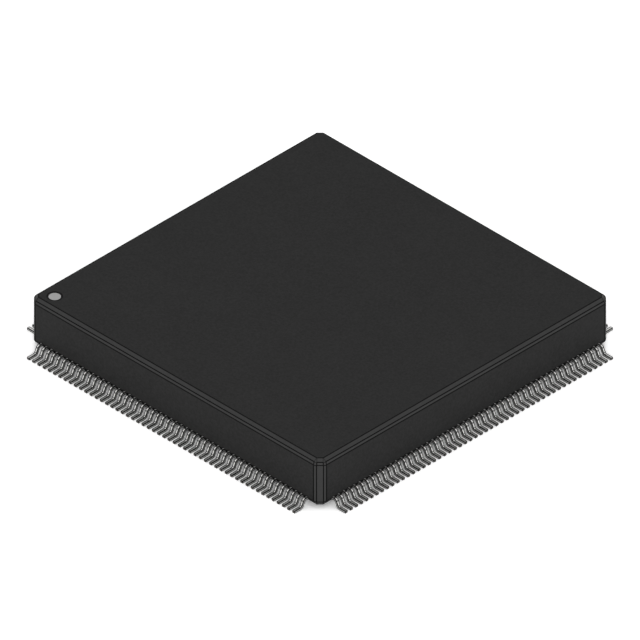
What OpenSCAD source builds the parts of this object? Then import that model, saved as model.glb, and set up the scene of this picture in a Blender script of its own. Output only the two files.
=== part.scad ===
// Quad flat pack chip: a square moulded package with a row of gull-wing leads on each side.
// Origin: centre of the package on the seating plane of the feet, +Z up, millimetres.
// Lead 1 is at the left end of the front (-Y) row, and the leads count on anticlockwise from above.

/* [Moulded body] */
// Side of the square moulded body
body_side = 28; // [25:0.1:32]
// Thickness of the moulded body
body_thick = 3.88; // [2.6:0.02:4.4]
// Leg of the chamfer that cuts each upright corner
corner_chamfer = 0.5; // [0.4:0.05:0.8]
// Rounding of the upright edges beside the corner chamfers
corner_radius = 0.3; // [0.3:0.01:0.4]
// Leg of the chamfer round the top and the bottom face
rim_chamfer = 0.3; // [0.1:0.01:0.3]
// Rounding between the rim chamfer and the side
rim_radius = 0.3; // [0.1:0.01:0.4]

/* [Pin one mark] */
// Diameter of the round pin one mark
mark_dia = 1; // [0.6:0.05:1.5]
// Centre of the mark, in from the left side
mark_inset_x = 1.33; // [1.2:0.01:2.5]
// Centre of the mark, in from the front side
mark_inset_y = 1.18; // [1.15:0.01:2.5]
// Depth of the moulded dimple that holds the mark's ink
dimple_depth = 0.06; // [0.04:0.01:0.15]
// Thickness of the ink in the dimple
ink_thick = 0.03; // [0.01:0.005:0.035]

/* [Underside] */
// Diameter of the ejector marks on the underside
ejector_dia = 2.4; // [1:0.1:3]
// Depth of the ejector marks
ejector_depth = 0.05; // [0.02:0.01:0.1]
// Spacing of the four ejector marks, centre to centre
ejector_spacing = 19; // [10:0.5:23]

/* [Leads outside the body] */
// Least distance from a corner of the body to the middle of the first lead
row_inset = 1.25; // [0.9:0.05:3]
// Spacing of the leads, centre to centre
lead_pitch = 0.5; // [0.4:0.01:0.8]
// Width of a lead outside the body
lead_width = 0.22; // [0.17:0.01:0.26]
// Thickness of the lead frame sheet
lead_thick = 0.18; // [0.12:0.01:0.2]
// Reach of a lead from the side of the body to the tip of its foot
lead_reach = 1.3; // [1.22:0.01:1.6]
// Flat length of the foot
foot_length = 0.6; // [0.45:0.01:0.7]
// Inner radius of both bends of a lead
bend_radius = 0.115; // [0.08:0.005:0.15]
// Lean of the leg from upright, in degrees
leg_lean = 26; // [5:1:33]
// Gap between the seating plane and the underside of the body
stand_off = 0.22; // [0.1:0.01:0.42]
// Middle of the leads above the underside of the body, where they come out
exit_height = 0.42; // [0.38:0.01:0.6]

/* [Lead frame inside the body] */
// Distance between facing rows of inner lead tips
tip_ring = 13.2; // [12.9:0.1:15]
// First and last inner tip of a row, in from the corner of that ring
tip_row_inset = 0.99; // [0.9:0.01:1.5]
// Width of an inner tip
tip_width = 0.11; // [0.08:0.005:0.13]
// Straight run of a lead inside the body before it fans in
straight_run = 0.8; // [0.6:0.05:1.2]
// Side of the square die pad
pad_side = 11.4; // [10.4:0.1:12]
// Width of the four tie bars that hold the die pad
tie_bar_width = 0.25; // [0.15:0.01:0.3]
// Least gap between a tie bar and the leads beside it
tie_bar_gap = 0.08; // [0.05:0.01:0.15]
// Mould compound left over the end of a tie bar
tie_bar_cover = 0.35; // [0.1:0.05:1]

/* [Die and bond wires] */
// Side of the square silicon die
die_side = 9.5; // [8.5:0.1:10]
// Thickness of the die
die_thick = 0.38; // [0.2:0.01:0.5]
// Thickness of the adhesive under the die
attach_thick = 0.03; // [0.02:0.005:0.06]
// Adhesive that shows round the die
attach_margin = 0.15; // [0.05:0.01:0.2]
// First and last bond pad of a row, in from the corner of the die
bond_row_inset = 0.5; // [0.3:0.05:0.8]
// Row of bond pads, in from the edge of the die
bond_pad_inset = 0.12; // [0.08:0.01:0.2]
// Thickness of a bond wire
wire_thick = 0.03; // [0.02:0.005:0.04]
// Width of the ball that bonds a wire to the die
ball_width = 0.07; // [0.06:0.005:0.1]
// Height of that ball, which narrows to the wire
ball_height = 0.05; // [0.03:0.005:0.08]
// Height of the wire's loop above the die
loop_height = 0.25; // [0.15:0.01:0.5]
// Level stretch at the top of the loop
loop_level = 0.35; // [0.2:0.01:0.5]
// Length of the wire pressed on the lead
stitch_length = 0.12; // [0.08:0.01:0.16]
// End of the wire, in from the tip of the lead
stitch_inset = 0.2; // [0.18:0.01:0.3]

/* [Hidden] */
$fn = 64;

// The four sides, as quarter turns from the front
FRONT = 0;
RIGHT = 1;
BACK = 2;
LEFT = 3;

// How far a cutter runs past the face that it opens
cut_past = 0.1;
// Straight pieces in a rounded edge of the body, and in a bend of a lead
edge_steps = 4;
bend_steps = 4;

// Directions in which an arc starts or ends, in degrees
UP = 90;
DOWN = 270;

half_side = body_side / 2;
body_top = stand_off + body_thick;
lead_z = stand_off + exit_height;
frame_bottom = lead_z - lead_thick / 2;
frame_top = lead_z + lead_thick / 2;
die_bottom = frame_top + attach_thick;
die_top = die_bottom + die_thick;

// As many leads as fit along a side, each with its inner tip and its bond pad
leads_per_side = floor((body_side - 2 * row_inset) / lead_pitch) + 1;
row_middle = (leads_per_side - 1) / 2;
tip_pitch = (tip_ring - 2 * tip_row_inset) / (leads_per_side - 1);
bond_pitch = (die_side - 2 * bond_row_inset) / (leads_per_side - 1);

tip_u = tip_ring / 2;
joint_u = half_side - cut_past;
bond_u = die_side / 2 - bond_pad_inset;
wire_half = wire_thick / 2;

// Room along the side between a lead and the diagonal, where the tie bar lies
tie_bar_room = sqrt(2) * (tie_bar_width / 2 + tie_bar_gap + lead_width / 2);

// Points of an arc about a centre, from one angle to another
function arc(centre, radius, from, to, steps) = [
    for (i = [0:steps])
        let (a = from + (to - from) * i / steps)
        centre + radius * [cos(a), sin(a)]
];

// Unit vector at right angles to the left of the way from a to b
function left_of(a, b) = [a.y - b.y, b.x - a.x] / norm(b - a);

// Left of a path at one of its points, long enough to keep the width round a corner
function side_step(path, i) =
    let (
        last = len(path) - 1,
        before = left_of(path[max(i - 1, 0)], path[max(i, 1)]),
        after = left_of(path[min(i, last - 1)], path[min(i + 1, last)]),
        middle = (before + after) / norm(before + after)
    )
    middle / (middle * after);

// Outline of a strip along a path, with a half width for each point
function strip(path, halves) =
    let (last = len(path) - 1)
    concat(
        [for (i = [0:last]) path[i] + halves[i] * side_step(path, i)],
        [for (i = [last:-1:0]) path[i] - halves[i] * side_step(path, i)]
    );

function mirrored(points) = [for (i = [len(points) - 1:-1:0]) [-points[i].x, points[i].y]];

// Moulded body

// Distance from the middle of the body to its side, for a side that faces a given way
function half_width(angle) =
    let (
        fold = min(angle % 90, 90 - angle % 90),
        near = half_side - corner_radius,
        far = half_side - corner_chamfer - corner_radius * tan(22.5)
    )
    near * cos(fold) + far * sin(fold) + corner_radius;

// Section through the body, with its chamfered and rounded rims
function body_section(half) =
    let (
        rim = rim_chamfer + rim_radius * tan(22.5),
        low = [half - rim_radius, rim],
        high = [half - rim_radius, body_thick - rim],
        right = concat(
            [[half - rim_chamfer, 0]],
            arc(low, rim_radius, -45, 0, edge_steps),
            arc(high, rim_radius, 0, 45, edge_steps),
            [[half - rim_chamfer, body_thick]]
        )
    )
    concat(right, mirrored(right));

module body_form() {
    turn = 45 / edge_steps;
    translate([0, 0, stand_off])
        intersection_for (angle = [0:turn:180 - turn])
            rotate([90, 0, angle])
                linear_extrude(height = 2 * body_side, center = true)
                    polygon(body_section(half_width(angle)));
}

module mark_place() {
    translate([mark_inset_x - half_side, mark_inset_y - half_side, body_top - dimple_depth])
        children();
}

module ejector_marks() {
    half = ejector_spacing / 2;
    for (x = [-half, half])
        for (y = [-half, half])
            translate([x, y, stand_off - cut_past])
                cylinder(d = ejector_dia, h = cut_past + ejector_depth);
}

// The body is cast round the frame, the die and the wires, so it has a pocket for each of them
module moulded_body() {
    color("#2f2f2f")
        difference() {
            body_form();
            for (side = [FRONT:LEFT]) {
                lead_pockets(side);
                bond_wires(side);
            }
            die_pad();
            die_attach();
            silicon_die();
            mark_place() cylinder(d = mark_dia, h = dimple_depth + cut_past);
            ejector_marks();
        }
}

module pin_one_mark() {
    color("#9b9b9b") mark_place() cylinder(d = mark_dia, h = ink_thick);
}

// Leads

// A row is drawn with x out of the body and y along its side, then turned to face its side
module on_side(side) {
    rotate([0, 0, 90 * side - 90]) children();
}

// Where a lead turns to fan in: a straight run from the side, or less beside a tie bar
function knee_u(place) = max(half_side - straight_run, abs(lead_pitch * place) + tie_bar_room);

// Middle line of a lead inside the body, from its tip out to a given distance
function inner_path(place, out) = [
    [tip_u, tip_pitch * place],
    [knee_u(place), lead_pitch * place],
    [out, lead_pitch * place]
];

module inner_leads(side, out) {
    on_side(side)
        translate([0, 0, frame_bottom])
            linear_extrude(height = lead_thick)
                for (i = [0:leads_per_side - 1])
                    polygon(strip(inner_path(i - row_middle, out), [tip_width, lead_width, lead_width] / 2));
}

module lead_pockets(side) {
    inner_leads(side, half_side + cut_past);
}

// Side view of a lead outside the body: shoulder, bend, leg, bend and foot
function gull_wing() =
    let (
        turn = 90 - leg_lean,
        inner = bend_radius,
        outer = bend_radius + lead_thick,
        middle = bend_radius + lead_thick / 2,
        tangent = middle * tan(turn / 2),
        toe = half_side + lead_reach,
        heel = toe - foot_length,
        leg_run = (lead_z - lead_thick / 2) * tan(leg_lean),
        shoulder = heel - 2 * tangent - leg_run,
        heel_centre = [heel, outer],
        shoulder_centre = [shoulder, lead_z - middle]
    )
    concat(
        [[joint_u, frame_top]],
        arc(shoulder_centre, outer, UP, UP - turn, bend_steps),
        arc(heel_centre, inner, DOWN - turn, DOWN, bend_steps),
        [[toe, lead_thick], [toe, 0]],
        arc(heel_centre, outer, DOWN, DOWN - turn, bend_steps),
        arc(shoulder_centre, inner, UP - turn, UP, bend_steps),
        [[joint_u, frame_bottom]]
    );

module outer_leads(side) {
    on_side(side)
        for (i = [0:leads_per_side - 1])
            translate([0, lead_pitch * (i - row_middle), 0])
                rotate([90, 0, 0])
                    linear_extrude(height = lead_width, center = true)
                        polygon(gull_wing());
}

// Each lead is one strip of the frame, from the tip beside the die to the foot
module leads(side) {
    color("#9a9a9a") {
        inner_leads(side, joint_u);
        outer_leads(side);
    }
}

// Die pad with its tie bars, cut from the same sheet as the leads
module die_pad() {
    bar_end = (body_side - corner_chamfer) / sqrt(2) - tie_bar_cover;
    color("#b07040")
        translate([0, 0, frame_bottom])
            linear_extrude(height = lead_thick) {
                square(pad_side, center = true);
                for (angle = [45, 135])
                    rotate([0, 0, angle])
                        square([2 * bar_end, tie_bar_width], center = true);
            }
}

// Die

module die_attach() {
    side = die_side + 2 * attach_margin;
    color("#c8c8c0")
        translate([-side / 2, -side / 2, frame_top])
            cube([side, side, attach_thick]);
}

module silicon_die() {
    color("#606870")
        translate([-die_side / 2, -die_side / 2, die_bottom])
            cube([die_side, die_side, die_thick]);
}

// Bond wires

// Side view of a wire of a given length: ball, rise, loop, slope and stitch
function wire_outline(reach) =
    strip(
        [
            [0, die_top],
            [0, die_top + ball_height],
            [0, die_top + loop_height],
            [loop_level, die_top + loop_height],
            [reach - stitch_length, frame_top + wire_half],
            [reach, frame_top + wire_half]
        ],
        [ball_width / 2, wire_half, wire_half, wire_half, wire_half, wire_half]
    );

module bond_wires(side) {
    color("#d9b44a")
        on_side(side)
            for (i = [0:leads_per_side - 1]) {
                place = i - row_middle;
                path = inner_path(place, joint_u);
                start = [bond_u, bond_pitch * place];
                end = path[0] + stitch_inset * (path[1] - path[0]) / norm(path[1] - path[0]);
                way = end - start;
                translate([start.x, start.y, 0])
                    rotate([90, 0, atan2(way.y, way.x)])
                        linear_extrude(height = wire_thick, center = true)
                            polygon(wire_outline(norm(way)));
            }
}

module front_leads() { leads(FRONT); }
module right_leads() { leads(RIGHT); }
module back_leads() { leads(BACK); }
module left_leads() { leads(LEFT); }
module front_bond_wires() { bond_wires(FRONT); }
module right_bond_wires() { bond_wires(RIGHT); }
module back_bond_wires() { bond_wires(BACK); }
module left_bond_wires() { bond_wires(LEFT); }

moulded_body();
pin_one_mark();
front_leads();
right_leads();
back_leads();
left_leads();
die_pad();
die_attach();
silicon_die();
front_bond_wires();
right_bond_wires();
back_bond_wires();
left_bond_wires();
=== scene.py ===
"""Studio picture of a quad flat pack chip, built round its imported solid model."""

import logging
import math
from collections.abc import Callable, Iterable
from dataclasses import dataclass, field
from enum import Enum, IntEnum
from itertools import accumulate, pairwise

import bmesh
import bpy
from mathutils import Matrix, Vector

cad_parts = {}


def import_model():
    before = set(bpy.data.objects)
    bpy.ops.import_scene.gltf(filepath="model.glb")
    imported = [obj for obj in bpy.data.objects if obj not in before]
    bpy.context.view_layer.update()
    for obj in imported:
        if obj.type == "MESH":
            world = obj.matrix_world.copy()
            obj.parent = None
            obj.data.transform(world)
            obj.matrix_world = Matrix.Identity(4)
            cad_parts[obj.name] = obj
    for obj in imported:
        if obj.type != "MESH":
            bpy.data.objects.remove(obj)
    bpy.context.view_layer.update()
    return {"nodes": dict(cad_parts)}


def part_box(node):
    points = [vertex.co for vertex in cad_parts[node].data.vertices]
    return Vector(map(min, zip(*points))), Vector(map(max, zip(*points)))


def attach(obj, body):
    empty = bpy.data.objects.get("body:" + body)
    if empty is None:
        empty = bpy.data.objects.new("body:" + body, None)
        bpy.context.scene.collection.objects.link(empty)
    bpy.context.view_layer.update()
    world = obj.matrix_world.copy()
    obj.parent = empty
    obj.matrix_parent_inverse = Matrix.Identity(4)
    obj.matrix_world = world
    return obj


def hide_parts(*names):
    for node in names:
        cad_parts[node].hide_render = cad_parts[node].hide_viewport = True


LOG = logging.getLogger("chip")
# Lengths are in millimetres, but for those of the studio, which are in metres
MM = 0.001
MM_PER_METRE = 1000
BODY = "root"
# Lengths that differ by less than this, in millimetres, are equal
WELD = 0.001
# A face looks along an axis when its normal's share on that axis is past the first of these, and
# lies square to the axis past the second
FACING = 0.9
SQUARE = 0.999
# Faces that meet at less than this, in degrees, belong to one rounded form
ROUNDED = 30.0
# Nearly all of a noise pattern lies between these values
NOISE_SPAN = {"From Min": 0.3, "From Max": 0.7}
# Map on a lead, in face widths: first twice the way to the nearest line across the face, then the
# way across the face
STRIP_MAP = "strip"


class Side(Enum):
    """The four sides of the package, as quarter turns from the front."""

    FRONT = 0
    RIGHT = 1
    BACK = 2
    LEFT = 3

    @property
    def word(self) -> str:
        """The side's name in the node names."""
        return self.name.lower()

    @property
    def angle(self) -> float:
        """Turn about Z that brings a row drawn along +X to this side."""
        return math.radians(90 * self.value - 90)


class Form(IntEnum):
    """The forms of the moulded block, in the order in which they follow on from its sides."""

    SIDE = 0
    ROUNDING = 1
    CHAMFER = 2
    FLAT = 3


class MouldFace(Enum):
    """How the steel of the mould was finished where a face was cast; the rims' colour is painted lighter as
    painted light, and the edges are painted near-black as painted shade.
    """

    SPARK_ERODED = "spark_eroded"
    # Rims: colour painted lighter than the flat faces', as painted light
    GROUND_PAINTED_LIGHTER = "ground_painted_lighter"
    # Edges: a near-black line of painted shade
    EDGE = "edge"


class LeadFace(Enum):
    """What made a face of a lead."""

    ROLLED = "rolled"
    SHEARED = "sheared"
    TRIMMED = "trimmed"


def linear(code: str) -> tuple[float, float, float, float]:
    """Turn an sRGB hex colour into linear values.

    Args:
        code: Six hex digits after a hash sign.

    Returns:
        Linear red, green, blue and an alpha of one.
    """
    parts = [int(code[i : i + 2], 16) / 255 for i in (1, 3, 5)]
    out = [c / 12.92 if c <= 0.04045 else ((c + 0.055) / 1.055) ** 2.4 for c in parts]
    return (out[0], out[1], out[2], 1.0)


def add_node(
    tree: bpy.types.NodeTree,
    kind: str,
    settings: dict | None = None,
    values: dict | None = None,
    links: dict | None = None,
) -> bpy.types.Node:
    """Add one shader node with its settings, socket values and incoming links.

    Args:
        tree: Node tree that gets the node.
        kind: Node type, such as ShaderNodeTexNoise.
        settings: Node properties by name.
        values: Socket values by socket name or number.
        links: Source sockets by name or number of the socket that they feed.

    Returns:
        The new node.
    """
    made = tree.nodes.new(kind)
    for name, value in (settings or {}).items():
        setattr(made, name, value)
    for key, value in (values or {}).items():
        made.inputs[key].default_value = value
    for key, source in (links or {}).items():
        tree.links.new(source, made.inputs[key])
    return made


@dataclass(frozen=True)
class Finish:
    """A real material: what it is, how its surface was made, and how it takes the light."""

    name: str
    colour: str
    light_colour: str
    roughness: float
    roughness_spread: float = 0.05
    metallic: float = 0.0
    specular: float = 0.5
    grain_mm: float = 0.1
    grain_stretch: tuple[float, float, float] = (1.0, 1.0, 1.0)
    cloud_mm: float = 3.0
    cloud_share: float = 0.3
    bump_mm: float = 0.003
    bump_strength: float = 0.5

    def build(self) -> bpy.types.Material:
        """Make the material: a fine grain over slow clouds, in colour, roughness and height.

        Returns:
            The finished material.
        """
        material = bpy.data.materials.new(self.name)
        material.use_nodes = True
        tree = material.node_tree
        tree.nodes.clear()
        shader = add_node(
            tree,
            "ShaderNodeBsdfPrincipled",
            values={"Metallic": self.metallic, "Specular IOR Level": self.specular},
        )
        place = add_node(tree, "ShaderNodeTexCoord").outputs["Object"]
        self.dress(tree, place, shader)
        add_node(tree, "ShaderNodeOutputMaterial", links={"Surface": shader.outputs[0]})
        return material

    def dress(self, tree: bpy.types.NodeTree, place: bpy.types.NodeSocket, shader: bpy.types.Node) -> None:
        """Link the surface pattern to the shader.

        Args:
            tree: The material's node tree.
            place: Object coordinates, in metres.
            shader: The surface shader.
        """
        turned = add_node(
            tree, "ShaderNodeMapping", values={"Scale": self.grain_stretch}, links={"Vector": place}
        )
        grain = add_node(
            tree,
            "ShaderNodeTexNoise",
            values={"Scale": MM_PER_METRE / self.grain_mm, "Detail": 3.0, "Roughness": 0.6},
            links={"Vector": turned.outputs[0]},
        )
        clouds = add_node(
            tree,
            "ShaderNodeTexNoise",
            values={"Scale": MM_PER_METRE / self.cloud_mm, "Detail": 2.0},
            links={"Vector": place},
        )
        both = add_node(
            tree,
            "ShaderNodeMix",
            {"data_type": "FLOAT"},
            {"Factor": self.cloud_share},
            {2: grain.outputs[0], 3: clouds.outputs[0]},
        )
        self.link_tones(tree, both.outputs[0], grain.outputs[0], shader)

    def link_tones(
        self,
        tree: bpy.types.NodeTree,
        tone: bpy.types.NodeSocket,
        height: bpy.types.NodeSocket,
        shader: bpy.types.Node,
    ) -> None:
        """Feed a pattern to the shader's colour, roughness and normal.

        Args:
            tree: The material's node tree.
            tone: Pattern from 0 to 1 that picks the colour and roughness.
            height: Pattern from 0 to 1 that raises the surface.
            shader: The surface shader.
        """
        spread = add_node(tree, "ShaderNodeMapRange", values=NOISE_SPAN, links={"Value": tone})
        colour = add_node(
            tree,
            "ShaderNodeMix",
            {"data_type": "RGBA"},
            {6: linear(self.colour), 7: linear(self.light_colour)},
            {0: spread.outputs[0]},
        )
        rough = add_node(
            tree,
            "ShaderNodeMapRange",
            values={
                **NOISE_SPAN,
                "To Min": self.roughness - self.roughness_spread,
                "To Max": self.roughness + self.roughness_spread,
            },
            links={"Value": tone},
        )
        bump = add_node(
            tree,
            "ShaderNodeBump",
            values={"Strength": self.bump_strength, "Distance": self.bump_mm * MM},
            links={"Height": height},
        )
        tree.links.new(self.tint(tree, colour.outputs[2], tone), shader.inputs["Base Color"])
        tree.links.new(rough.outputs[0], shader.inputs["Roughness"])
        tree.links.new(bump.outputs[0], shader.inputs["Normal"])

    def tint(
        self, tree: bpy.types.NodeTree, colour: bpy.types.NodeSocket, tone: bpy.types.NodeSocket
    ) -> bpy.types.NodeSocket:
        """Change the colour where a finish needs it; this plain one leaves it as it is."""
        return colour


@dataclass(frozen=True)
class StripFinish(Finish):
    """A finish on a face of a metal strip, with a near-black painted shade along the face's edges."""

    edge_shade_colour: str = "#0a0a09"
    edge_mm: float = 0.065
    across_mm: float = 0.22
    wander: float = 0.1
    blur: float = 0.15

    def tint(
        self, tree: bpy.types.NodeTree, colour: bpy.types.NodeSocket, tone: bpy.types.NodeSocket
    ) -> bpy.types.NodeSocket:
        """Darken the colour with painted shade within a short way of the face's edges and of the lines
        across it.

        Args:
            tree: The material's node tree.
            colour: Colour of the middle of the face.
            tone: Pattern from 0 to 1 that lets the dark edge wander.

        Returns:
            The colour with its dark edges.
        """
        place = add_node(tree, "ShaderNodeUVMap", {"uv_map": STRIP_MAP}).outputs[0]
        parts = add_node(tree, "ShaderNodeSeparateXYZ", links={0: place})
        inward = add_node(
            tree, "ShaderNodeMath", {"operation": "PINGPONG"}, {1: 0.5}, {0: parts.outputs["Y"]}
        )
        nearest = add_node(
            tree,
            "ShaderNodeMath",
            {"operation": "MINIMUM"},
            links={0: inward.outputs[0], 1: parts.outputs["X"]},
        )
        share = self.edge_mm / self.across_mm
        shift = add_node(
            tree,
            "ShaderNodeMapRange",
            values={"To Min": -self.wander * share, "To Max": self.wander * share},
            links={"Value": tone},
        )
        moved = add_node(
            tree, "ShaderNodeMath", {"operation": "ADD"}, links={0: nearest.outputs[0], 1: shift.outputs[0]}
        )
        clean = add_node(
            tree,
            "ShaderNodeMapRange",
            {"interpolation_type": "SMOOTHSTEP"},
            {"From Min": (1 - self.blur) * share, "From Max": (1 + self.blur) * share},
            {"Value": moved.outputs[0]},
        )
        # Mix in the near-black painted shade near the edges and the lines across
        return add_node(
            tree,
            "ShaderNodeMix",
            {"data_type": "RGBA"},
            {6: linear(self.edge_shade_colour)},
            {0: clean.outputs[0], 7: colour},
        ).outputs[2]


# Epoxy filled with fused silica, cast against spark-eroded steel: dull black with a fine even grain.
# The real grain of about 0.02 mm is drawn at 0.16 mm, so that it shows.
COMPOUND_FLAT = Finish(
    name="black_mould_compound_spark_eroded",
    colour="#222222",
    light_colour="#2d2d2d",
    roughness=0.62,
    specular=0.04,
    grain_mm=0.16,
    cloud_share=0.15,
    bump_mm=0.006,
)
# The same epoxy off the ground steel of the mould's rims, a little smoother; its colour is painted lighter
# than the flat faces' as painted light on the slanted rims.
COMPOUND_RIM_PAINTED_LIGHTER = Finish(
    name="black_mould_compound_rim_painted_lighter",
    colour="#323232",
    light_colour="#373737",
    roughness=0.5,
    specular=0.06,
    grain_mm=0.3,
    bump_mm=0.002,
)
# The edges of the moulding: a narrow line painted blacker than the faces beside it, as painted shade along
# every edge between two forms.
COMPOUND_EDGE_SHADE = Finish(
    name="black_edge_painted_shade",
    colour="#040404",
    light_colour="#080808",
    roughness=0.5,
    specular=0.04,
    grain_mm=0.2,
    bump_mm=0.001,
)
# Matte tin plated on a copper alloy: a soft pale grey metal with very small crystals. A near-black line of
# painted shade runs along the edges of each face and across the lead at the start and end of each bend.
# Crystals of a few micrometres are drawn at 0.05 mm, so that they show.
TIN_ROLLED = StripFinish(
    name="matte_tin_on_rolled_face",
    colour="#cececc",
    light_colour="#dededc",
    roughness=0.35,
    metallic=0.75,
    grain_mm=0.05,
    cloud_mm=0.8,
    bump_mm=0.002,
)
# The punched sides of a lead: thinner plating over the torn metal of the cut, streaked along the punch.
# Their colour is painted darker than the rolled faces' as painted shade on the sides, and they carry the
# same painted shade along their edges.
TIN_SHEARED_PAINTED_DARKER = StripFinish(
    name="matte_tin_on_sheared_side_painted_darker",
    colour="#b0b0ae",
    light_colour="#c0c0be",
    roughness=0.45,
    metallic=0.7,
    grain_mm=0.04,
    grain_stretch=(1.0, 1.0, 0.2),
    bump_mm=0.004,
    across_mm=0.18,
)
# The end of the foot, cut after plating: bare copper alloy, gone dull, with tin smeared over it.
TRIM_CUT = StripFinish(
    name="copper_alloy_bared_by_the_trim_cut",
    colour="#5a5652",
    light_colour="#6c6a68",
    roughness=0.6,
    metallic=1.0,
    grain_mm=0.04,
    grain_stretch=(1.0, 1.0, 0.2),
    bump_mm=0.004,
)
# Pad-printed epoxy ink: light grey, slightly uneven, dull.
INK = Finish(
    name="light_grey_marking_ink",
    colour="#909090",
    light_colour="#9e9e9e",
    roughness=0.6,
    specular=0.2,
    grain_mm=0.08,
    cloud_mm=0.5,
    bump_mm=0.002,
)
# The rim of the dot, where the ink is thin over the black compound; its colour is painted darker than the
# bare compound, as painted shade at the dimple's wall.
THIN_INK_RIM_SHADE = Finish(
    name="thin_ink_rim_painted_shade",
    colour="#070707",
    light_colour="#141414",
    roughness=0.6,
    specular=0.1,
    grain_mm=0.05,
    cloud_mm=0.3,
    bump_mm=0.002,
)
# Cold-rolled copper alloy sheet: warm, with fine lines along the rolling direction.
COPPER = Finish(
    name="rolled_copper_sheet",
    colour="#a5714c",
    light_colour="#c08a62",
    roughness=0.32,
    metallic=1.0,
    grain_mm=0.06,
    grain_stretch=(1.0, 0.08, 1.0),
)
# Silver-filled epoxy, dispensed and cured: dull pale grey with flakes.
SILVER_EPOXY = Finish(
    name="silver_filled_epoxy",
    colour="#a8a8a0",
    light_colour="#d0d0c8",
    roughness=0.45,
    metallic=0.6,
    grain_mm=0.05,
    bump_mm=0.006,
)
# A polished and processed wafer, sawn into a die: dark blue-grey glass-smooth face.
SILICON = Finish(
    name="processed_silicon",
    colour="#4c545c",
    light_colour="#69727b",
    roughness=0.16,
    metallic=0.5,
    grain_mm=0.5,
    grain_stretch=(1.0, 0.3, 1.0),
    cloud_mm=1.5,
    cloud_share=0.5,
    bump_mm=0.0005,
)
# Fine gold drawn through a die: warm yellow and bright.
GOLD = Finish(
    name="drawn_gold_wire",
    colour="#d8ac48",
    light_colour="#ecc56a",
    roughness=0.25,
    metallic=1.0,
    grain_mm=0.02,
    bump_mm=0.0005,
)

MOULD_FINISHES = {
    MouldFace.SPARK_ERODED: COMPOUND_FLAT,
    MouldFace.GROUND_PAINTED_LIGHTER: COMPOUND_RIM_PAINTED_LIGHTER,
    MouldFace.EDGE: COMPOUND_EDGE_SHADE,
}
# The sheared sides are painted darker than the rolled faces, and every lead face gets painted dark edges,
# both as painted shade
LEAD_FINISHES = {LeadFace.ROLLED: TIN_ROLLED, LeadFace.SHEARED: TIN_SHEARED_PAINTED_DARKER, LeadFace.TRIMMED: TRIM_CUT}
HIDDEN_FINISHES = {"die_pad": COPPER, "die_attach": SILVER_EPOXY, "silicon_die": SILICON}


def in_mm(node: str) -> tuple[Vector, Vector]:
    """Lowest and highest corner of a solid of the frame.

    Args:
        node: The solid's node name.

    Returns:
        The two corners in millimetres.
    """
    low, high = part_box(node)
    return Vector(low) / MM, Vector(high) / MM


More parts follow.
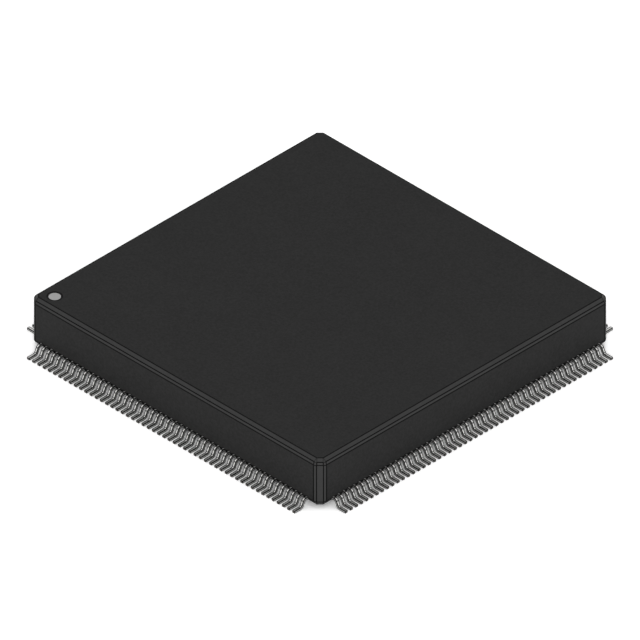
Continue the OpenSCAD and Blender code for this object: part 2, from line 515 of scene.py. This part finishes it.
class Workpiece:
    """A mesh on the bench, shaped in millimetres by edit mode operators."""

    def __init__(self, name: str) -> None:
        """Take the primitive that was just added.

        Args:
            name: Name of the finished piece.
        """
        self.obj = bpy.context.object
        self.obj.name = name
        self.obj.data.name = name

    @classmethod
    def box(cls, name: str, low: Iterable[float], high: Iterable[float]) -> "Workpiece":
        """Start from a cube that fills the space between two corners.

        Args:
            name: Name of the finished piece.
            low: Lowest corner.
            high: Highest corner.

        Returns:
            The new workpiece.
        """
        low, high = Vector(low), Vector(high)
        bpy.ops.object.select_all(action="DESELECT")
        bpy.ops.mesh.primitive_cube_add(size=1, location=(low + high) / 2)
        bpy.context.object.scale = high - low
        bpy.ops.object.transform_apply(location=True, rotation=True, scale=True)
        return cls(name)

    @classmethod
    def disc(
        cls, name: str, diameter: float, low: Iterable[float], height: float, sides: int = 64
    ) -> "Workpiece":
        """Start from a round disc.

        Args:
            name: Name of the finished piece.
            diameter: Its diameter.
            low: Centre of its underside.
            height: Its thickness.
            sides: Number of its sides.

        Returns:
            The new workpiece.
        """
        bpy.ops.object.select_all(action="DESELECT")
        bpy.ops.mesh.primitive_cylinder_add(
            vertices=sides,
            radius=diameter / 2,
            depth=height,
            location=Vector(low) + Vector((0, 0, height / 2)),
        )
        bpy.ops.object.transform_apply(location=True, rotation=True, scale=True)
        return cls(name)

    def pick(self, kind: str, test: Callable[[Vector, Vector], bool]) -> None:
        """Select edges or faces in edit mode.

        Args:
            kind: EDGE or FACE.
            test: Says whether to take an element. It gets the two ends of an edge, or the middle and the
                normal of a face.
        """
        bpy.context.view_layer.objects.active = self.obj
        if self.obj.mode != "EDIT":
            bpy.ops.object.mode_set(mode="EDIT")
        bpy.ops.mesh.select_mode(type=kind)
        bpy.ops.mesh.select_all(action="DESELECT")
        mesh = bmesh.from_edit_mesh(self.obj.data)
        if kind == "EDGE":
            for edge in mesh.edges:
                edge.select_set(test(edge.verts[0].co, edge.verts[1].co))
        else:
            for face in mesh.faces:
                face.select_set(test(face.calc_center_median(), face.normal))
        bmesh.update_edit_mesh(self.obj.data)

    def bevel(self, width: float, segments: int = 1) -> None:
        """Bevel the selected edges.

        Args:
            width: Distance from the old edge to each new one.
            segments: Number of faces across the bevel.
        """
        bpy.ops.mesh.bevel(offset_type="OFFSET", offset=width, segments=segments, affect="EDGES")
        bpy.ops.mesh.select_all(action="SELECT")
        bpy.ops.mesh.remove_doubles(threshold=WELD)

    def extrude(self, move: Iterable[float]) -> None:
        """Extrude the selected face.

        Args:
            move: How far the new face lies from the old one.
        """
        bpy.ops.mesh.extrude_region_move(TRANSFORM_OT_translate={"value": tuple(move)})

    def bend(self, angle: float, centre: Iterable[float], steps: int) -> None:
        """Carry the selected face round an arc in the XZ plane.

        Args:
            angle: Turn about +Y in radians; the operator counts its turns the other way.
            centre: Middle of the arc.
            steps: Number of straight pieces in the arc.
        """
        bpy.ops.mesh.spin(steps=steps, angle=-angle, center=tuple(centre), axis=(0, 1, 0))

    def leave(self) -> None:
        """Go back to object mode."""
        if self.obj.mode == "EDIT":
            bpy.ops.object.mode_set(mode="OBJECT")

    def cut(self, tool: "Workpiece") -> None:
        """Cut another piece's shape out of this one.

        Args:
            tool: The cutter, which is used up.
        """
        self.leave()
        # The walls and floor of the cut take this piece's first finish
        for material in self.obj.data.materials[:1]:
            tool.obj.data.materials.append(material)
        modifier = self.obj.modifiers.new("cut", "BOOLEAN")
        modifier.operation = "DIFFERENCE"
        modifier.solver = "MANIFOLD"
        modifier.object = tool.obj
        bpy.context.view_layer.objects.active = self.obj
        bpy.ops.object.modifier_apply(modifier=modifier.name)
        bpy.data.objects.remove(tool.obj)

    def smooth(self) -> None:
        """Shade rounded forms smooth and keep flat faces flat."""
        self.leave()
        bpy.ops.object.select_all(action="DESELECT")
        self.obj.select_set(True)
        bpy.context.view_layer.objects.active = self.obj
        bpy.ops.object.shade_smooth_by_angle(angle=math.radians(ROUNDED))
        modifier = self.obj.modifiers.new("flat_faces", "WEIGHTED_NORMAL")
        modifier.keep_sharp = True
        bpy.ops.object.modifier_apply(modifier=modifier.name)

    def finish(self, slot: str, *nodes: str) -> bpy.types.Object:
        """Bring the piece to metres and put it in the frame in place of its solids.

        Args:
            slot: Not used.
            nodes: The solids that it stands for.

        Returns:
            The finished object.
        """
        self.leave()
        self.obj.data.transform(Matrix.Scale(MM, 4))
        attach(self.obj, BODY)
        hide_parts(*nodes)
        LOG.info("%s: %d faces", self.obj.name, len(self.obj.data.polygons))
        return self.obj


@dataclass
class MouldedBody:
    """The block of mould compound with its chamfers, rounded edges, dimple and ejector marks."""

    corner_chamfer: float = 0.5
    corner_radius: float = 0.3
    rim_chamfer: float = 0.3
    rim_radius: float = 0.3
    rounding_steps: int = 4
    ejector_dia: float = 2.4
    ejector_depth: float = 0.05
    ejector_spacing: float = 19.0
    cut_past: float = 0.1
    # Widths of the edge finish, a line of painted shade: on flat faces, on roundings, and on chamfers and
    # crowded corners
    flat_edge: float = 0.065
    round_edge: float = 0.045
    chamfer_edge: float = 0.03
    # Share on Z of a face's normal past which its form is the next one
    form_slopes: tuple[float, float, float] = (0.01, 0.69, 0.99)
    # Turn of a face's normal from the nearest side, in degrees, past which its form is the next one
    form_turns: tuple[float, float] = (1.0, 44.0)

    def build(self) -> bpy.types.Object:
        """Model the block in place of its solid.

        Returns:
            The finished piece.
        """
        low, high = in_mm("moulded_body")
        piece = Workpiece.box("moulded_block", low, high)
        self.shape_corners(piece)
        self.shape_rims(piece, low.z, high.z)
        self.dress(piece)
        self.sink_dimple(piece, high.z)
        self.line_edges(piece)
        self.sink_ejector_marks(piece, low.z)
        piece.smooth()
        return piece.finish("mould_compound", "moulded_body")

    @staticmethod
    def rounding_width(radius: float) -> float:
        """Width, from the old edge, of a rounding where a chamfer of 45 degrees meets a face."""
        return radius * math.tan(math.radians(45 / 2))

    def shape_corners(self, piece: Workpiece) -> None:
        """Cut the upright corners and round the edges of each cut.

        Args:
            piece: The plain block.
        """

        def upright(a: Vector, b: Vector) -> bool:
            """Whether an edge between two points stands on end."""
            return abs(a.z - b.z) > WELD

        piece.pick("EDGE", upright)
        piece.bevel(self.corner_chamfer)
        piece.pick("EDGE", upright)
        piece.bevel(self.rounding_width(self.corner_radius), self.rounding_steps)

    def shape_rims(self, piece: Workpiece, bottom: float, top: float) -> None:
        """Chamfer the top and bottom rims and round where each chamfer meets the side.

        Args:
            piece: The block with its corners cut.
            bottom: Height of its underside.
            top: Height of its top.
        """

        def at_height(*heights: float) -> Callable[[Vector, Vector], bool]:
            """Test for an edge that lies level at one of some heights."""
            return lambda a, b: any(max(abs(a.z - h), abs(b.z - h)) < WELD for h in heights)

        ends = at_height(bottom, top)
        piece.pick("EDGE", ends)
        piece.bevel(self.rim_chamfer)
        # The roundings of the corners run out to a point at the top and bottom
        piece.pick("EDGE", lambda a, b: ends(a, b) and (a - b).length < self.round_edge)
        bpy.ops.mesh.merge(type="COLLAPSE")
        piece.pick("EDGE", at_height(bottom + self.rim_chamfer, top - self.rim_chamfer))
        piece.bevel(self.rounding_width(self.rim_radius), self.rounding_steps)
        piece.leave()

    def sink_dimple(self, piece: Workpiece, top: float) -> None:
        """Sink the round dimple that holds the ink of the pin one mark.

        Args:
            piece: The block.
            top: Height of its top.
        """
        low, high = in_mm("pin_one_mark")
        floor = Vector(((low.x + high.x) / 2, (low.y + high.y) / 2, low.z))
        depth = top + self.cut_past - low.z
        piece.cut(Workpiece.disc("dimple_cutter", high.x - low.x, floor, depth))

    def sink_ejector_marks(self, piece: Workpiece, bottom: float) -> None:
        """Sink the four shallow rounds that the mould's ejector pins leave on the underside.

        Args:
            piece: The block.
            bottom: Height of its underside.
        """
        half = self.ejector_spacing / 2
        depth = self.cut_past + self.ejector_depth
        for x in (-half, half):
            for y in (-half, half):
                foot = (x, y, bottom - self.cut_past)
                piece.cut(Workpiece.disc("ejector_cutter", self.ejector_dia, foot, depth))

    def dress(self, piece: Workpiece) -> None:
        """Give each face the finish of the mould steel that it was cast against; the slanted faces' colour
        is painted lighter as painted light.

        Args:
            piece: The block with its corners and rims shaped.
        """
        faces = list(MouldFace)
        block = piece.obj.data
        for kind in faces:
            block.materials.append(MOULD_FINISHES[kind].build())
        for face in block.polygons:
            slanted = max(abs(c) for c in face.normal) < SQUARE
            # Slanted faces get the rim finish, whose colour is painted lighter as painted light
            face.material_index = faces.index(MouldFace.GROUND_PAINTED_LIGHTER if slanted else MouldFace.SPARK_ERODED)
            face.use_smooth = False

    def line_edges(self, piece: Workpiece) -> None:
        """Set a narrow strip of the edge finish, painted near-black as painted shade, along every edge
        between two forms of the block.

        Args:
            piece: The block with its dimple.
        """
        dimple_floor, top = in_mm("pin_one_mark")[0].z, in_mm("moulded_body")[1].z

        def slope(normal: Vector) -> Form:
            """Form of a face between the side and the top or bottom."""
            return Form(sum(abs(normal.z) > limit for limit in self.form_slopes))

        def turn(normal: Vector) -> Form:
            """Form of a face between a side and the middle of a corner."""
            off = math.degrees(math.atan2(normal.y, normal.x)) % 90
            return Form(sum(min(off, 90 - off) > limit for limit in self.form_turns))

        def sunk(centre: Vector) -> bool:
            """Whether a face is one of the dimple's own, which get no strip."""
            return dimple_floor - WELD < centre.z < top - WELD

        flat, rounding, chamfer = self.flat_edge, self.round_edge, self.chamfer_edge
        # A strip is narrower than one step of a rounding, and least on chamfers and crowded corners.
        # The roundings between the chamfers run to a point, where a strip has no room.
        widths = {
            (Form.SIDE, Form.SIDE): flat,
            (Form.SIDE, Form.ROUNDING): rounding,
            (Form.SIDE, Form.CHAMFER): chamfer,
            (Form.ROUNDING, Form.SIDE): rounding,
            (Form.ROUNDING, Form.ROUNDING): chamfer,
            (Form.ROUNDING, Form.CHAMFER): rounding,
            (Form.CHAMFER, Form.SIDE): chamfer,
            (Form.CHAMFER, Form.CHAMFER): chamfer,
            (Form.FLAT, None): flat,
        }
        for form, width in widths.items():
            level, way = form
            piece.pick(
                "FACE",
                lambda centre, normal: (
                    slope(normal) == level and way in (None, turn(normal)) and not sunk(centre)
                ),
            )
            bpy.ops.mesh.inset(thickness=width, depth=0, use_select_inset=True)
            # The strip gets the edge finish, a near-black painted shade
            piece.obj.active_material_index = list(MouldFace).index(MouldFace.EDGE)
            bpy.ops.object.material_slot_assign()
        piece.leave()


@dataclass
class PinOneMark:
    """The dot of ink in the dimple, dished, and run out at its rim, where the ink is thin and its colour is
    painted near-black as painted shade at the dimple's wall.
    """

    rim_width: float = 0.075
    rim_drop: float = 0.01
    dish_width: float = 0.06
    dish_depth: float = 0.008

    def build(self) -> bpy.types.Object:
        """Model the dot in place of its solid.

        Returns:
            The finished piece.
        """
        low, high = in_mm("pin_one_mark")
        middle = Vector(((low.x + high.x) / 2, (low.y + high.y) / 2, low.z))
        piece = Workpiece.disc("pin_one_ink", high.x - low.x, middle, high.z - low.z)
        # The rim ring gets a near-black colour, painted shade at the dimple's wall
        for finish in (THIN_INK_RIM_SHADE, INK):
            piece.obj.data.materials.append(finish.build())
        piece.pick("FACE", lambda centre, normal: normal.z > FACING)
        bpy.ops.transform.translate(value=(0, 0, -self.rim_drop))
        bpy.ops.mesh.inset(thickness=self.rim_width, depth=self.rim_drop)
        piece.obj.active_material_index = 1
        bpy.ops.object.material_slot_assign()
        bpy.ops.mesh.inset(thickness=self.dish_width, depth=-self.dish_depth)
        piece.smooth()
        return piece.finish("mark_ink", "pin_one_mark")


@dataclass
class LeadRow:
    """One side's row of gull-wing leads, each one strip from its inner tip to its foot."""

    side: Side
    count: int = 52
    pitch: float = 0.5
    width: float = 0.22
    thick: float = 0.18
    foot_length: float = 0.6
    bend_radius: float = 0.115
    leg_lean: float = 26.0
    exit_height: float = 0.42
    straight_run: float = 0.8
    tip_pitch: float = 0.22
    tip_width: float = 0.11
    joint_inset: float = 0.1
    bend_steps: int = 4

    def __post_init__(self) -> None:
        """Take the row's reach from its solids."""
        body_low, body_high = in_mm("moulded_body")
        row_low, row_high = in_mm("front_leads")
        self.half_side = body_high.x
        self.toe = -row_low.y
        self.tip = -row_high.y
        self.middle_z = body_low.z + self.exit_height
        self.knee = self.half_side - self.straight_run
        self.joint = self.half_side - self.joint_inset

    def build(self, materials: list[bpy.types.Material]) -> bpy.types.Object:
        """Model the row in place of its solids.

        Args:
            materials: The finishes of the lead's faces, in the order of LeadFace.

        Returns:
            The finished piece.
        """
        first = self.one_lead()
        for material in materials:
            first.obj.data.materials.append(material)
        row = [first.obj]
        for _ in range(self.count - 1):
            twin = first.obj.copy()
            twin.data = first.obj.data.copy()
            bpy.context.scene.collection.objects.link(twin)
            row.append(twin)
        for number, lead in enumerate(row):
            self.fan(lead.data, number - (self.count - 1) / 2)
        bpy.ops.object.select_all(action="DESELECT")
        for lead in row:
            lead.select_set(True)
        bpy.context.view_layer.objects.active = first.obj
        bpy.ops.object.join()
        first.obj.data.transform(Matrix.Rotation(self.side.angle, 4, "Z"))
        first.smooth()
        return first.finish("plated_leads", f"{self.side.word}_leads")

    def one_lead(self) -> Workpiece:
        """Model one straight lead along +X, with its bends.

        Returns:
            The lead, before it is fanned in.
        """
        turn = math.radians(90 - self.leg_lean)
        middle = self.bend_radius + self.thick / 2
        heel = Vector((self.toe - self.foot_length, 0, middle + self.thick / 2))
        drop = self.middle_z - self.thick / 2
        leg_run = drop * math.tan(math.radians(self.leg_lean))
        shoulder = Vector((heel.x - 2 * middle * math.tan(turn / 2) - leg_run, 0, self.middle_z - middle))
        turns = [Matrix.Rotation(turn * i / self.bend_steps, 3, "Y") for i in range(self.bend_steps + 1)]
        shoulder_arc = [shoulder + part @ Vector((0, 0, middle)) for part in turns]
        heel_arc = [heel - part @ Vector((0, 0, middle)) for part in reversed(turns)]
        leg = heel_arc[0] - shoulder_arc[-1]

        bottom, top = self.middle_z - self.thick / 2, self.middle_z + self.thick / 2
        lead = Workpiece.box(
            f"{self.side.word}_lead_row",
            (self.joint, -self.width / 2, bottom),
            (shoulder.x, self.width / 2, top),
        )
        lead.pick("FACE", lambda centre, normal: normal.x < -FACING)
        lead.extrude((self.knee - self.joint, 0, 0))
        lead.extrude((self.tip - self.knee, 0, 0))
        lead.pick("FACE", lambda centre, normal: normal.x > FACING)
        lead.bend(turn, shoulder, self.bend_steps)
        lead.extrude(leg / 2)
        lead.extrude(leg / 2)
        lead.bend(-turn, heel, self.bend_steps)
        lead.extrude((self.foot_length / 2, 0, 0))
        lead.extrude((self.foot_length / 2, 0, 0))

        lead.leave()
        inner = [Vector((x, 0, self.middle_z)) for x in (self.tip, self.knee, self.joint)]
        foot = [heel_arc[-1] + Vector((share * self.foot_length, 0, 0)) for share in (0.5, 1)]
        path = [*inner, *shoulder_arc, shoulder_arc[-1] + leg / 2, *heel_arc, *foot]
        lines = (shoulder_arc[0], shoulder_arc[-1], heel_arc[0], heel_arc[-1], foot[-1])
        self.sort_faces(lead.obj.data)
        self.map_faces(lead.obj.data, path, [path.index(line) for line in lines])
        return lead

    def sort_faces(self, mesh: bpy.types.Mesh) -> None:
        """Mark each face of a lead with what made it.

        Args:
            mesh: The straight lead.
        """
        kinds = list(LeadFace)
        for face in mesh.polygons:
            if abs(face.normal.y) > FACING:
                kind = LeadFace.SHEARED
            elif face.normal.x > FACING and face.center.x > self.toe - WELD:
                kind = LeadFace.TRIMMED
            else:
                kind = LeadFace.ROLLED
            face.material_index = kinds.index(kind)

    def map_faces(self, mesh: bpy.types.Mesh, path: list[Vector], lines: list[int]) -> None:
        """Write the strip map: twice the way to the nearest line across, and the way across each face.

        Args:
            mesh: The straight lead.
            path: Middles of the lead's cross-sections, from its inner tip to its toe.
            lines: Numbers of the sections at the start and end of each bend and at the toe.
        """
        reach = list(accumulate(((b - a).length for a, b in pairwise(path)), initial=0.0))
        nearest = [min(abs(here - reach[line]) for line in lines) for here in reach]
        across = {LeadFace.ROLLED: self.width, LeadFace.SHEARED: self.thick, LeadFace.TRIMMED: self.width}
        kinds = list(LeadFace)
        strip = mesh.uv_layers.new(name=STRIP_MAP)
        for face in mesh.polygons:
            kind = kinds[face.material_index]
            size = across[kind]
            loops = list(face.loop_indices)
            places = [mesh.vertices[mesh.loops[i].vertex_index].co for i in loops]
            if abs((places[1] - places[0]).length - size) > WELD:
                loops, places = loops[1:] + loops[:1], places[1:] + places[:1]
            for number, (loop, place) in enumerate(zip(loops, places)):
                if kind is LeadFace.TRIMMED:
                    along = 1.0
                elif kind is LeadFace.SHEARED:
                    along = 2 * (self.toe - place.x) / size
                else:
                    flat = Vector((place.x, 0, place.z))
                    section = min(range(len(path)), key=lambda i: (flat - path[i]).length)
                    along = 2 * nearest[section] / size
                strip.data[loop].uv = (along, 1.0 if number in (1, 2) else 0.0)

    def fan(self, mesh: bpy.types.Mesh, place: float) -> None:
        """Move a lead to its place in the row and swing its inner end towards the die.

        Args:
            mesh: The straight lead.
            place: Its number, counted from the middle of the row.
        """
        offset = self.pitch * place
        swing = Vector((self.knee - self.tip, offset - self.tip_pitch * place)).normalized()
        corner = (Vector((1, 0)) + swing).normalized()
        knee_half = self.width / 2 / corner.x
        for point in mesh.vertices:
            way = 1 if point.co.y > 0 else -1
            if point.co.x < self.tip + WELD:
                middle = Vector((self.tip, self.tip_pitch * place))
                step = Vector((-swing.y, swing.x)) * way * self.tip_width / 2
            elif point.co.x < self.knee + WELD:
                middle = Vector((self.knee, offset))
                step = Vector((-corner.y, corner.x)) * way * knee_half
            else:
                middle = Vector((point.co.x, offset))
                step = Vector((0, point.co.y))
            point.co.x, point.co.y = middle + step


@dataclass
class HiddenParts:
    """The die, its pad and adhesive and the bond wires, which keep their solids inside the body."""

    nodes: dict[str, bpy.types.Object]

    def dress(self) -> None:
        """Give each solid its finish."""
        gold = GOLD.build()
        for name, finish in HIDDEN_FINISHES.items():
            self.paint(name, finish.build())
        for side in Side:
            self.paint(f"{side.word}_bond_wires", gold)

    def paint(self, name: str, material: bpy.types.Material) -> None:
        """Put one material on a solid.

        Args:
            name: The solid's node name.
            material: Its finish.
        """
        mesh = self.nodes[name].data
        mesh.materials.clear()
        mesh.materials.append(material)
        LOG.info("%s: %s", name, material.name)


@dataclass
class Studio:
    """White paper floor, even sky, one key light and the camera of the picture."""

    frame_width: float = 43.487 * MM
    aim: Vector = field(default_factory=lambda: Vector((0, 0, 2.04 * MM)))
    azimuth: float = 45.0
    elevation: float = 35.264
    distance: float = 0.2
    floor_half: float = 0.6
    floor_colour: float = 0.9
    # Above 1, so that the open floor is white to the camera and the part's own shade still shows
    floor_seen: float = 1.35
    # Sky and key together light the top at 1.05 of the level at which a colour shows as it is written
    sky_strength: float = 0.9
    key_elevation: float = 24.0
    key_strength: float = 1.15
    key_angle: float = 15.0

    def direction(self, elevation: float) -> Vector:
        """Way from the object towards the camera's side, at a height in degrees above the floor."""
        a, e = math.radians(self.azimuth), math.radians(elevation)
        return Vector((math.sin(a) * math.cos(e), -math.cos(a) * math.cos(e), math.sin(e)))

    def build(self) -> None:
        """Make the camera, lights, world and floor."""
        self.set_camera()
        self.set_key_light()
        self.set_sky()
        self.lay_floor()

    def aim_down(self, holder: bpy.types.Object, elevation: float) -> None:
        """Turn a camera or a lamp to look from the camera's side at the object."""
        holder.rotation_mode = "QUATERNION"
        holder.rotation_quaternion = (-self.direction(elevation)).to_track_quat("-Z", "Y")

    def set_camera(self) -> None:
        """Make the parallel camera at the drawing's angle."""
        camera = bpy.data.cameras.new("camera")
        camera.type = "ORTHO"
        camera.ortho_scale = self.frame_width
        camera.clip_start = 0.001
        camera.clip_end = 5.0
        holder = bpy.data.objects.new("camera", camera)
        bpy.context.scene.collection.objects.link(holder)
        holder.location = self.aim + self.direction(self.elevation) * self.distance
        self.aim_down(holder, self.elevation)
        bpy.context.scene.camera = holder
        bpy.context.scene.view_settings.view_transform = "Standard"

    def set_key_light(self) -> None:
        """Hang the key light on the camera's side, so low that the near sides look like the top."""
        lamp = bpy.data.lights.new("key", "SUN")
        lamp.energy = self.key_strength
        lamp.angle = math.radians(self.key_angle)
        key = bpy.data.objects.new("key", lamp)
        bpy.context.scene.collection.objects.link(key)
        self.aim_down(key, self.key_elevation)

    def white_to_eye(self, tree: bpy.types.NodeTree, dim: float, bright: float) -> bpy.types.NodeSocket:
        """Value that is bright to the camera, mirrors and glass, and dim to everything else.

        Args:
            tree: Node tree that gets the nodes.
            dim: Value for the light on the scene.
            bright: Value as seen.

        Returns:
            The value's socket.
        """
        path = add_node(tree, "ShaderNodeLightPath")
        seen = path.outputs["Is Camera Ray"]
        for ray in ("Is Glossy Ray", "Is Transmission Ray"):
            seen = add_node(
                tree, "ShaderNodeMath", {"operation": "MAXIMUM"}, links={0: seen, 1: path.outputs[ray]}
            ).outputs[0]
        return add_node(
            tree, "ShaderNodeMapRange", values={"To Min": dim, "To Max": bright}, links={"Value": seen}
        ).outputs[0]

    def set_sky(self) -> None:
        """Make the even light from all round."""
        world = bpy.data.worlds.new("studio")
        bpy.context.scene.world = world
        world.use_nodes = True
        tree = world.node_tree
        tree.nodes.clear()
        strength = self.white_to_eye(tree, self.sky_strength, 1.0)
        sky = add_node(
            tree, "ShaderNodeBackground", values={"Color": (1, 1, 1, 1)}, links={"Strength": strength}
        )
        add_node(tree, "ShaderNodeOutputWorld", links={"Surface": sky.outputs[0]})

    def lay_floor(self) -> None:
        """Lay the white paper floor, which keeps the object's shadow."""
        bpy.ops.object.select_all(action="DESELECT")
        bpy.ops.mesh.primitive_plane_add(size=2 * self.floor_half, location=(0, 0, 0))
        floor = bpy.context.object
        floor.name = "floor"
        material = bpy.data.materials.new("white_paper_floor")
        material.use_nodes = True
        tree = material.node_tree
        tree.nodes.clear()
        grey = self.white_to_eye(tree, self.floor_colour, self.floor_seen)
        paper = add_node(tree, "ShaderNodeBsdfDiffuse", links={"Color": grey})
        add_node(tree, "ShaderNodeOutputMaterial", links={"Surface": paper.outputs[0]})
        floor.data.materials.append(material)


def main() -> None:
    """Load the frame, build the visible pieces, dress the hidden ones and set up the picture."""
    logging.basicConfig(level=logging.INFO, format="%(message)s")
    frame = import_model()
    bpy.ops.object.select_all(action="DESELECT")
    Studio().build()
    MouldedBody().build()
    PinOneMark().build()
    tin = [LEAD_FINISHES[kind].build() for kind in LeadFace]
    for side in Side:
        LeadRow(side).build(tin)
    HiddenParts(frame["nodes"]).dress()


if __name__ == "__main__":
    main()
